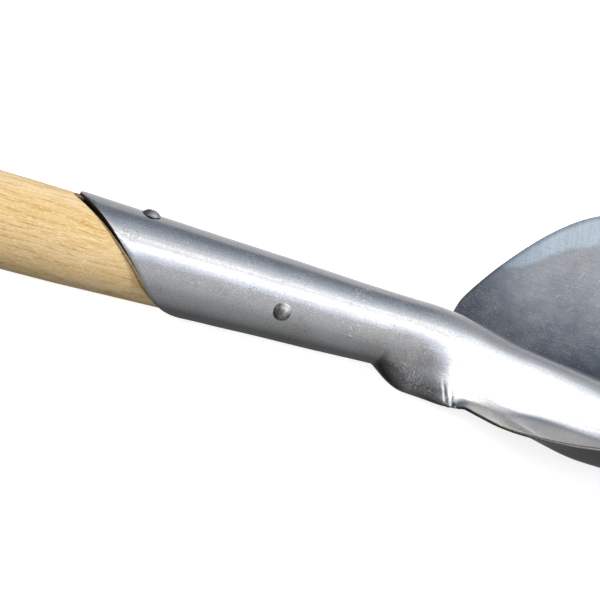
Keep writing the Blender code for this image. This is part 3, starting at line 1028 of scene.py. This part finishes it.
def wood_material():
    nodes = Nodes("pale_ash")
    warped = nodes.mapped(nodes.mm, (0.012, 0.06, 0.06))
    sway = nodes.noise(warped, 1.0, 3.0, 0.5)
    pith = nodes.mapped(nodes.mm, (0.0, 1.0, 1.0), shift=(0.0, 48.0, 22.0))
    length = nodes.add("ShaderNodeVectorMath", operation="LENGTH")
    nodes.join(pith, length.inputs[0])
    reach = nodes.math("ADD", length.outputs["Value"], nodes.math("MULTIPLY", sway, 16.0))
    phase = nodes.math("MULTIPLY", reach, 2.0 * math.pi / RING_SPACING)
    rings = nodes.math("SINE", phase)
    late = nodes.span(rings, 0.35, 1.0)

    wavy = nodes.noise(nodes.mapped(nodes.mm, (0.05, 0.1, 0.1)), 1.0, 2.0)
    shift = nodes.add("ShaderNodeVectorMath", operation="MULTIPLY_ADD")
    nodes.join(wavy, shift.inputs[0])
    shift.inputs[1].default_value = (0.0, 3.0, 3.0)
    nodes.join(nodes.mm, shift.inputs[2])
    grained = shift.outputs[0]
    pores = nodes.noise(nodes.mapped(grained, (0.055, 2.3, 2.3)), 1.0, 3.0, 0.6)
    broken = nodes.noise(nodes.mapped(nodes.mm, (0.16, 0.5, 0.5)), 1.0, 3.0, 0.6)
    fibres = nodes.noise(nodes.mapped(grained, (0.12, 3.6, 3.6)), 1.0, 3.0, 0.7)
    flecks = nodes.noise(nodes.mapped(nodes.mm, (0.6, 2.2, 2.2)), 1.0, 3.0, 0.7)
    dashes = nodes.span(pores, 0.515, 0.58)
    streaks = nodes.math("MULTIPLY", late, nodes.span(broken, 0.36, 0.62))
    marks = nodes.math("MULTIPLY", dashes, nodes.span(late, 0.0, 1.0, 0.5, 1.0))

    tone = nodes.noise(nodes.mapped(nodes.mm, (0.01, 0.07, 0.07)), 1.0, 2.0)
    colour = nodes.blend(nodes.span(tone, 0.3, 0.7), ASH_WARM, ASH_PALE)
    colour = nodes.blend(nodes.span(fibres, 0.35, 0.7, 0.0, 0.5), colour, FIBRE_TAN)
    colour = nodes.blend(nodes.math("MULTIPLY", streaks, 0.5), colour, LATE_WOOD)
    colour = nodes.blend(nodes.math("MULTIPLY", marks, 0.85), colour, PORE_ORANGE)
    colour = nodes.blend(nodes.span(flecks, 0.5, 0.68, 0.0, 0.5), colour, FLECK_CREAM)
    # Painted black shadow on the wood at the socket's mouth
    colour = nodes.blend(mouth_painted_shadow(nodes), colour, MOUTH_SHADOW_BLACK)
    nodes.join(colour, nodes.shader.inputs["Base Color"])
    nodes.join(nodes.span(pores, 0.4, 0.7, 0.38, 0.55), nodes.shader.inputs["Roughness"])
    nodes.shader.inputs["Specular IOR Level"].default_value = 0.15
    ridges = nodes.bump(fibres, 0.18, 0.15)
    nodes.join(nodes.bump(nodes.math("SUBTRACT", 1.0, dashes), 0.35, 0.12, ridges),
               nodes.shader.inputs["Normal"])
    return nodes.material


def floor_material():
    nodes = Nodes("pale_floor")
    paper = nodes.noise(nodes.mm, 0.02, 3.0)
    colour = nodes.blend(nodes.span(paper, 0.3, 0.7), FLOOR_GREY, FLOOR_PALE)
    nodes.join(colour, nodes.shader.inputs["Base Color"])
    nodes.shader.inputs["Roughness"].default_value = 0.9
    nodes.shader.inputs["Specular IOR Level"].default_value = 0.0
    nodes.shader.inputs["Emission Color"].default_value = (1.0, 1.0, 1.0, 1.0)
    nodes.shader.inputs["Emission Strength"].default_value = FLOOR_GLOW
    return nodes.material


def make_floor():
    mesh = bpy.data.meshes.new("floor")
    bm = bmesh.new()
    bmesh.ops.create_grid(bm, x_segments=4, y_segments=4, size=6.0)
    bm.to_mesh(mesh)
    bm.free()
    floor = bpy.data.objects.new("floor", mesh)
    floor.location.z = cad_low.z - FLOOR_DROP * MM
    bpy.context.scene.collection.objects.link(floor)
    mesh.materials.append(floor_material())
    floor.visible_glossy = False
    floor.visible_diffuse = False


# Both lights point at the socket, in metres in the part's frame
LIGHT_TARGET = Vector((0.33, 0.0, 0.0))

# Studio: what the steel mirrors, by the angle round the tool's length.
# 0 is level on the camera's side, 90 straight up, 180 level behind.
SURROUNDINGS = (
    (-90.0, (0.13, 0.13, 0.13)),
    (-60.0, (0.29, 0.30, 0.30)),
    (-35.0, (0.39, 0.39, 0.39)),
    (-15.0, (0.55, 0.55, 0.55)),
    (5.0, (0.65, 0.65, 0.65)),
    (15.0, (0.66, 0.66, 0.66)),
    (25.0, (0.70, 0.71, 0.74)),
    (35.0, (1.10, 1.14, 1.28)),
    (44.0, (1.50, 1.55, 1.68)),
    (55.0, (3.20, 3.20, 3.20)),
    (64.0, (1.25, 1.27, 1.35)),
    (74.0, (1.75, 1.72, 1.66)),
    (80.0, (1.25, 1.25, 1.27)),
    (86.0, (0.93, 0.96, 1.01)),
    (95.0, (0.68, 0.73, 0.79)),
    (105.0, (0.49, 0.54, 0.61)),
    (115.0, (0.35, 0.40, 0.47)),
    (126.0, (0.26, 0.29, 0.34)),
    (137.0, (0.25, 0.27, 0.32)),
    (143.0, (0.36, 0.37, 0.39)),
    (148.0, (0.58, 0.58, 0.59)),
    (165.0, (0.64, 0.64, 0.65)),
    (185.0, (0.85, 0.84, 0.84)),
    (195.0, (0.75, 0.75, 0.75)),
    (204.0, (0.25, 0.25, 0.25)),
    (215.0, (0.11, 0.11, 0.11)),
    (270.0, (0.12, 0.12, 0.12)),
)

# The same towards the blade's point, where a broad bright window stands.
TOWARDS_POINT = (
    (-90.0, (0.12, 0.12, 0.12)),
    (-35.0, (0.34, 0.34, 0.34)),
    (5.0, (0.70, 0.70, 0.72)),
    (22.0, (1.00, 1.02, 1.10)),
    (32.0, (2.60, 2.60, 2.60)),
    (58.0, (2.60, 2.60, 2.60)),
    (68.0, (2.10, 2.12, 2.18)),
    (80.0, (1.55, 1.58, 1.62)),
    (92.0, (1.22, 1.24, 1.28)),
    (101.0, (0.86, 0.88, 0.92)),
    (114.0, (0.64, 0.66, 0.70)),
    (140.0, (0.46, 0.47, 0.49)),
    (170.0, (0.56, 0.56, 0.56)),
    (195.0, (0.60, 0.60, 0.60)),
    (208.0, (0.15, 0.15, 0.15)),
    (220.0, (0.09, 0.09, 0.09)),
    (270.0, (0.12, 0.12, 0.12)),
)


def add_ramp(tree, source, colours):
    """Colours by angle, where the source runs from 0 to 1 once round."""
    ramp = tree.nodes.new("ShaderNodeValToRGB")
    stops = ramp.color_ramp.elements
    stops.remove(stops[-1])
    for i, (degrees, colour) in enumerate(colours):
        place = (degrees + 90.0) / 360.0
        stop = stops[0] if i == 0 else stops.new(place)
        stop.position = place
        stop.color = (*colour, 1.0)
    tree.links.new(source, ramp.inputs["Fac"])
    return ramp.outputs["Color"]


def add_math(tree, operation, *sources):
    node = tree.nodes.new("ShaderNodeMath")
    node.operation = operation
    for source, target in zip(sources, node.inputs):
        if isinstance(source, float):
            target.default_value = source
        else:
            tree.links.new(source, target)
    return node.outputs[0]


def add_range(tree, source, low, high, to_low, to_high):
    node = tree.nodes.new("ShaderNodeMapRange")
    node.inputs["From Min"].default_value = low
    node.inputs["From Max"].default_value = high
    node.inputs["To Min"].default_value = to_low
    node.inputs["To Max"].default_value = to_high
    tree.links.new(source, node.inputs["Value"])
    return node.outputs[0]


def make_surroundings():
    """A pale room for soft light, which only the steel mirrors as a studio."""
    world = bpy.data.worlds.new("studio")
    bpy.context.scene.world = world
    world.use_nodes = True
    tree = world.node_tree
    tree.nodes.clear()
    coords = tree.nodes.new("ShaderNodeTexCoord")
    split = tree.nodes.new("ShaderNodeSeparateXYZ")
    tree.links.new(coords.outputs["Generated"], split.inputs[0])
    towards_camera = add_math(tree, "MULTIPLY", split.outputs["Y"], -1.0)
    angle = add_math(tree, "ARCTAN2", split.outputs["Z"], towards_camera)
    # A quarter turn on, so the ramp's ends meet straight down
    turn = add_math(tree, "MULTIPLY_ADD", angle, 1.0 / (2.0 * math.pi), 0.25)
    turn = add_math(tree, "WRAP", turn, 1.0, 0.0)
    beside = add_ramp(tree, turn, SURROUNDINGS)
    ahead = add_ramp(tree, turn, TOWARDS_POINT)
    both = tree.nodes.new("ShaderNodeMix")
    both.data_type = "RGBA"
    tree.links.new(add_range(tree, split.outputs["X"], 0.28, 0.48, 0.0, 1.0),
                   both.inputs["Factor"])
    tree.links.new(beside, both.inputs[6])
    tree.links.new(ahead, both.inputs[7])

    # Darker towards the grip end, where the steel faces back along the handle.
    dim = add_range(tree, split.outputs["X"], -0.45, 0.25, 0.2, 1.0)
    mirrored = tree.nodes.new("ShaderNodeBackground")
    tree.links.new(both.outputs[2], mirrored.inputs["Color"])
    tree.links.new(dim, mirrored.inputs["Strength"])
    pale = tree.nodes.new("ShaderNodeBackground")
    pale.inputs["Color"].default_value = (1.0, 1.0, 1.0, 1.0)
    tree.links.new(add_range(tree, split.outputs["Z"], -0.3, 0.2, 0.25, 0.75),
                   pale.inputs["Strength"])
    ray = tree.nodes.new("ShaderNodeLightPath")
    choose = tree.nodes.new("ShaderNodeMixShader")
    tree.links.new(ray.outputs["Is Glossy Ray"], choose.inputs["Fac"])
    tree.links.new(pale.outputs[0], choose.inputs[1])
    tree.links.new(mirrored.outputs[0], choose.inputs[2])
    backdrop = tree.nodes.new("ShaderNodeBackground")
    backdrop.inputs["Color"].default_value = (1.0, 1.0, 1.0, 1.0)
    seen = tree.nodes.new("ShaderNodeMixShader")
    tree.links.new(ray.outputs["Is Camera Ray"], seen.inputs["Fac"])
    tree.links.new(choose.outputs[0], seen.inputs[1])
    tree.links.new(backdrop.outputs[0], seen.inputs[2])
    output = tree.nodes.new("ShaderNodeOutputWorld")
    tree.links.new(seen.outputs[0], output.inputs["Surface"])


def make_light(name, place, size, power, colour):
    light = bpy.data.lights.new(name, "AREA")
    light.shape = "DISK"
    light.size = size
    light.energy = power
    light.color = colour
    obj = bpy.data.objects.new(name, light)
    obj.location = place
    direction = LIGHT_TARGET - Vector(place)
    obj.rotation_euler = direction.to_track_quat("-Z", "Y").to_euler()
    obj.visible_glossy = False
    bpy.context.scene.collection.objects.link(obj)


def make_camera():
    """Looks along the tool's own axes, as far off as the perspective asks."""
    back = Vector((
        -math.sin(VIEW_SWING),
        -math.cos(VIEW_SWING) * math.cos(VIEW_RISE),
        math.cos(VIEW_SWING) * math.sin(VIEW_RISE),
    ))
    along = Vector((1.0, 0.0, 0.0))
    level = (along - back * along.dot(back)).normalized()
    rise = back.cross(level)
    right = level * math.cos(VIEW_ROLL) + rise * math.sin(VIEW_ROLL)
    up = rise * math.cos(VIEW_ROLL) - level * math.sin(VIEW_ROLL)
    centre = back * VIEW_DISTANCE + right * AIM_RIGHT + up * AIM_UP
    turn = TOOL.to_3x3() * (1.0 / MM)
    axes = Matrix((turn @ right, turn @ up, turn @ back)).transposed()
    camera = bpy.data.cameras.new("camera")
    camera.sensor_width = SENSOR_WIDTH
    camera.lens = LENS
    camera.clip_start = 0.05
    camera.clip_end = 50.0
    obj = bpy.data.objects.new("camera", camera)
    obj.matrix_world = Matrix.Translation(TOOL @ centre) @ axes.to_4x4()
    bpy.context.scene.collection.objects.link(obj)
    bpy.context.scene.camera = obj


make_camera()

steel = steel_material()
rivet_steel = rivet_material()
ash = wood_material()

make_head(steel)
make_handle(ash)

face_seat = socket_radius(FACE_RIVET_X) + SHOWN_SHEET / 2.0 - RIVET_SINK
side_seat = socket_radius(SIDE_RIVET_X) + SHOWN_SHEET / 2.0 - RIVET_SINK
face_turn = Matrix.Rotation(-SOCKET_TURN, 4, "X")
side_turn = Matrix.Rotation(0.5 * math.pi - SOCKET_TURN, 4, "X")
face_place = Matrix.Translation((FACE_RIVET_X, 0.0, 0.0)) @ face_turn
side_place = Matrix.Translation((SIDE_RIVET_X, 0.0, 0.0)) @ side_turn
face_tail = handle_radius(FACE_RIVET_X) - 0.6
make_rivet("face_rivet_head", rivet_rings(face_seat, face_tail, False), face_place,
           2.0, rivet_steel, "face_rivet")
make_rivet("side_rivet_heads", rivet_rings(side_seat, side_seat, True), side_place,
           5.0, rivet_steel, "side_rivet")

make_floor()
make_surroundings()
make_light("key", (1.55, -0.85, 1.3), 0.3, 26.0, (1.0, 0.98, 0.95))
make_light("fill", (-0.3, -1.5, 0.9), 1.2, 8.0, (0.94, 0.97, 1.0))

scene = bpy.context.scene
scene.view_settings.view_transform = "Standard"
scene.view_settings.look = "None"
scene.view_settings.exposure = 0.0
scene.view_settings.gamma = 1.0
